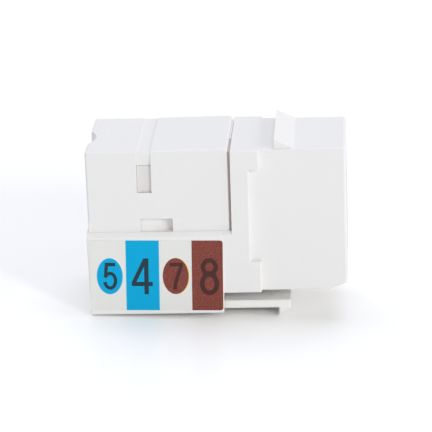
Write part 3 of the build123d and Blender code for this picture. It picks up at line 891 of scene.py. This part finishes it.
class JACK_OT_labels(bpy.types.Operator):
    """Make the two printed labels"""

    bl_idname = "jack.labels"
    bl_label = "Labels"

    def execute(self, context):
        label = context.scene.jack_label
        inks = {
            shade: ink(f"ink_{shade}", getattr(label, shade), mottle) for shade, mottle in MOTTLES.items()
        }
        self.print_label(label, inks, "label_near", -1, label.near_turn, NEAR_PRINT)
        self.print_label(label, inks, "label_far", 1, 0.0, FAR_PRINT)
        return {"FINISHED"}

    def print_label(self, label, inks, node, side, angle, marks):
        # The far label's box gives the size of both, because the near label lies turned in its own
        low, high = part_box("label_far")
        width, height, depth = high.x - low.x, high.z - low.z, high.y - low.y
        # The layers of ink lie on each other within the CAD label's thickness, with one to spare on top
        paper_top, edge_top, print_top, number_top = (depth - left * label.ink for left in (4, 3, 2, 1))
        place = label_place(node, side, angle)
        outline = rounded_outline(width, height, label.corner)
        sheet = plate_piece(f"{node}_paper", outline, 0.0, paper_top, place, label_paper(label))
        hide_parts(node)
        parts = [sheet]

        def lay(name, printed, top, shade):
            parts.append(plate_piece(f"{node}_{name}", printed, paper_top, top, place, inks[shade]))

        for left, right, shade in marks["stripes"]:
            lay(f"stripe_{shade}", clipped(outline, left * MM, right * MM), print_top, shade)
        for across, up, shade in marks["ovals"]:
            oval = oval_outline((across * MM, up * MM), label.oval_width, label.oval_height)
            if shade == "brown":
                lay("oval_edge", [(x + label.misprint, y) for x, y in oval], edge_top, "yellow")
            lay(f"oval_{shade}", oval, print_top, shade)
        for text, box, shade in marks["numbers"]:
            name, sizes = f"{node}_number_{text}", [part * MM for part in box]
            parts.append(number_piece(name, text, sizes, print_top, number_top, place, inks[shade]))
        for part in parts:
            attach(part, body_holding(node))


class JACK_OT_stage(bpy.types.Operator):
    """Make the floor, the light and the camera"""

    bl_idname = "jack.stage"
    bl_label = "Stage"

    def execute(self, context):
        stage = context.scene.jack_stage
        self.floor(stage)
        self.light(context, stage)
        self.camera(context, stage)
        context.scene.view_settings.view_transform = "Standard"
        return {"FINISHED"}

    def floor(self, stage):
        """A white floor just below the jack, tilted to the slope at which the jack rests on it."""
        touch, slope = resting_slope(stage.rest_span)
        half = stage.floor_size / 2
        corners = [
            (touch.x + sx * half, sy * half, touch.z - stage.floor_gap - sx * half * slope)
            for sx, sy in ((-1, -1), (1, -1), (1, 1), (-1, 1))
        ]
        shape = bpy.data.meshes.new("floor")
        shape.from_pydata(corners, [], [(0, 1, 2, 3)])
        made = new_material("floor_white")
        tree = made.node_tree
        surfaced = add(tree, "ShaderNodeBsdfPrincipled")
        surfaced.inputs["Roughness"].default_value = stage.floor_roughness
        surfaced.inputs["Specular IOR Level"].default_value = stage.floor_gloss
        output = add(tree, "ShaderNodeOutputMaterial", (300, 0))
        paths = add(tree, "ShaderNodeLightPath", (-600, 0))
        shade = add(tree, "ShaderNodeMix", (-300, 0), data_type="RGBA")
        shade.inputs[MIX_A].default_value = (*[stage.floor_white] * 3, 1.0)
        shade.inputs[MIX_B].default_value = (*stage.floor_seen, 1.0)
        tree.links.new(paths.outputs["Is Camera Ray"], shade.inputs["Factor"])
        tree.links.new(shade.outputs[MIX_RESULT], surfaced.inputs["Base Color"])
        tree.links.new(surfaced.outputs["BSDF"], output.inputs["Surface"])
        new_piece("floor", shape, made)

    def light(self, context, stage):
        """Four lamps and an even room, which the camera sees as white, also in reflections."""
        world = bpy.data.worlds.new("room")
        context.scene.world = world
        world.use_nodes = True
        tree = world.node_tree
        tree.nodes.clear()
        paths = add(tree, "ShaderNodeLightPath", (-600, 0))
        seen = add(tree, "ShaderNodeMath", (-400, 0), operation="MAXIMUM")
        seen_all = add(tree, "ShaderNodeMath", (-200, 0), operation="MAXIMUM")
        mix = add(tree, "ShaderNodeMix", (0, 0), data_type="RGBA")
        mix.inputs[MIX_A].default_value = (*[stage.room_light * part for part in stage.light_tint], 1.0)
        mix.inputs[MIX_B].default_value = (1.0, 1.0, 1.0, 1.0)
        background = add(tree, "ShaderNodeBackground", (200, 0))
        output = add(tree, "ShaderNodeOutputWorld", (400, 0))
        link = tree.links.new
        link(paths.outputs["Is Camera Ray"], seen.inputs[0])
        link(paths.outputs["Is Glossy Ray"], seen.inputs[1])
        link(seen.outputs[0], seen_all.inputs[0])
        link(paths.outputs["Is Transmission Ray"], seen_all.inputs[1])
        link(seen_all.outputs[0], mix.inputs["Factor"])
        link(mix.outputs[MIX_RESULT], background.inputs["Color"])
        link(background.outputs["Background"], output.inputs["Surface"])
        for name in ("key", "fill", "port", "top"):
            shade = stage.top_tint if name == "top" else stage.light_tint
            azimuth, height, distance, size, power = (
                getattr(stage, f"{name}_{part}")
                for part in ("azimuth", "height", "distance", "size", "light")
            )
            self.lamp(context, f"{name}_lamp", away_from(azimuth, height) * distance, size, power, shade)

    def lamp(self, context, name, away, size, power, shade):
        """A square soft lamp that stands away from the jack's middle and is aimed at it."""
        light = bpy.data.lights.new(name, "AREA")
        light.energy = power
        light.size = size
        light.color = shade
        made = bpy.data.objects.new(name, light)
        context.collection.objects.link(made)
        low, high = CAD_BOX
        made.location = (Vector(low) + Vector(high)) / 2 + away
        made.rotation_euler = (-away).to_track_quat("-Z", "Y").to_euler()

    def camera(self, context, stage):
        yaw, pitch, roll = stage.yaw, stage.pitch, stage.roll
        level = math.cos(pitch)
        forward = Vector((-math.sin(yaw) * level, math.cos(yaw) * level, -math.sin(pitch)))
        right = Vector((math.cos(yaw), math.sin(yaw), 0.0))
        up = right.cross(forward)
        turned_right = right * math.cos(roll) - up * math.sin(roll)
        turned_up = right * math.sin(roll) + up * math.cos(roll)
        place = Vector((stage.target_x, 0.0, stage.target_z)) - forward * stage.distance
        lens = bpy.data.cameras.new("camera")
        lens.lens = stage.lens
        lens.sensor_width = stage.film
        lens.clip_start, lens.clip_end = stage.clip_near, stage.clip_far
        made = bpy.data.objects.new("camera", lens)
        context.collection.objects.link(made)
        axes = Matrix((turned_right, turned_up, -forward)).transposed()
        made.matrix_world = Matrix.Translation(place) @ axes.to_4x4()
        context.scene.camera = made


class JACK_PT_panel(bpy.types.Panel):
    """Lists the steps that dress the jack"""

    bl_idname = "JACK_PT_panel"
    bl_label = "Keystone jack"
    bl_space_type = "VIEW_3D"
    bl_region_type = "UI"
    bl_category = "Jack"

    def draw(self, context):
        for operator in OPERATORS:
            self.layout.operator(operator.bl_idname)


OPERATORS = (
    JACK_OT_shells, JACK_OT_nubs, JACK_OT_steps, JACK_OT_strip, JACK_OT_contacts, JACK_OT_metal,
    JACK_OT_labels, JACK_OT_stage,
)
SETTINGS = {
    "jack_finish": JackFinish, "jack_label": JackLabel, "jack_nub": JackNub, "jack_step": JackStep,
    "jack_strip": JackStrip, "jack_wire": JackWire, "jack_stage": JackStage,
}
CLASSES = (*SETTINGS.values(), *OPERATORS, JACK_PT_panel)


def register():
    for kind in CLASSES:
        bpy.utils.register_class(kind)
    for name, group in SETTINGS.items():
        setattr(bpy.types.Scene, name, PointerProperty(type=group))


def unregister():
    for name in SETTINGS:
        delattr(bpy.types.Scene, name)
    for kind in reversed(CLASSES):
        bpy.utils.unregister_class(kind)


def main():
    register()
    bpy.ops.jack.shells()
    bpy.ops.jack.nubs()
    bpy.ops.jack.steps()
    bpy.ops.jack.strip()
    bpy.ops.jack.contacts()
    bpy.ops.jack.metal()
    bpy.ops.jack.labels()
    bpy.ops.jack.stage()


if __name__ == "__main__":
    main()
